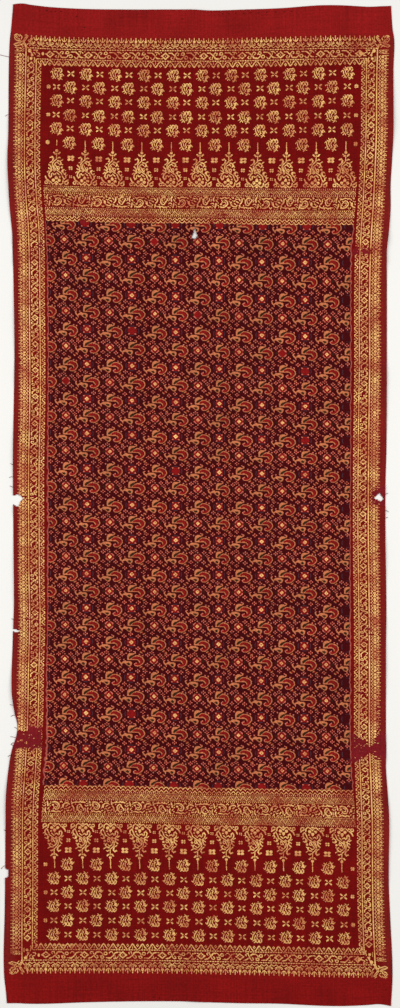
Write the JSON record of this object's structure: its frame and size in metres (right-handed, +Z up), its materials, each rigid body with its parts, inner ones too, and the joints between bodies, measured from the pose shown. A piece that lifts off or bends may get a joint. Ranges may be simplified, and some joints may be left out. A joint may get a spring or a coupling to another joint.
{
  "type": "ikat shoulder cloth with gold-thread ends",
  "caption": "Long silk shoulder cloth with a tie-dyed field and gold-thread borders, laid out flat, creased and worn along its old folds.",
  "frame": {"origin": "centre of the cloth's bounding box, on the surface that it lies on", "axes": "+X across the cloth to the right of the picture, +Y along it to the top of the picture, +Z up out of its face"},
  "size_m": [0.8358, 2.1442, 0.0054],
  "materials": {
    "silk": "woven red silk with maroon ikat and dull gold thread"
  },
  "bodies": {
    "root": {"cloth": "silk"}
  },
  "joints": []
}
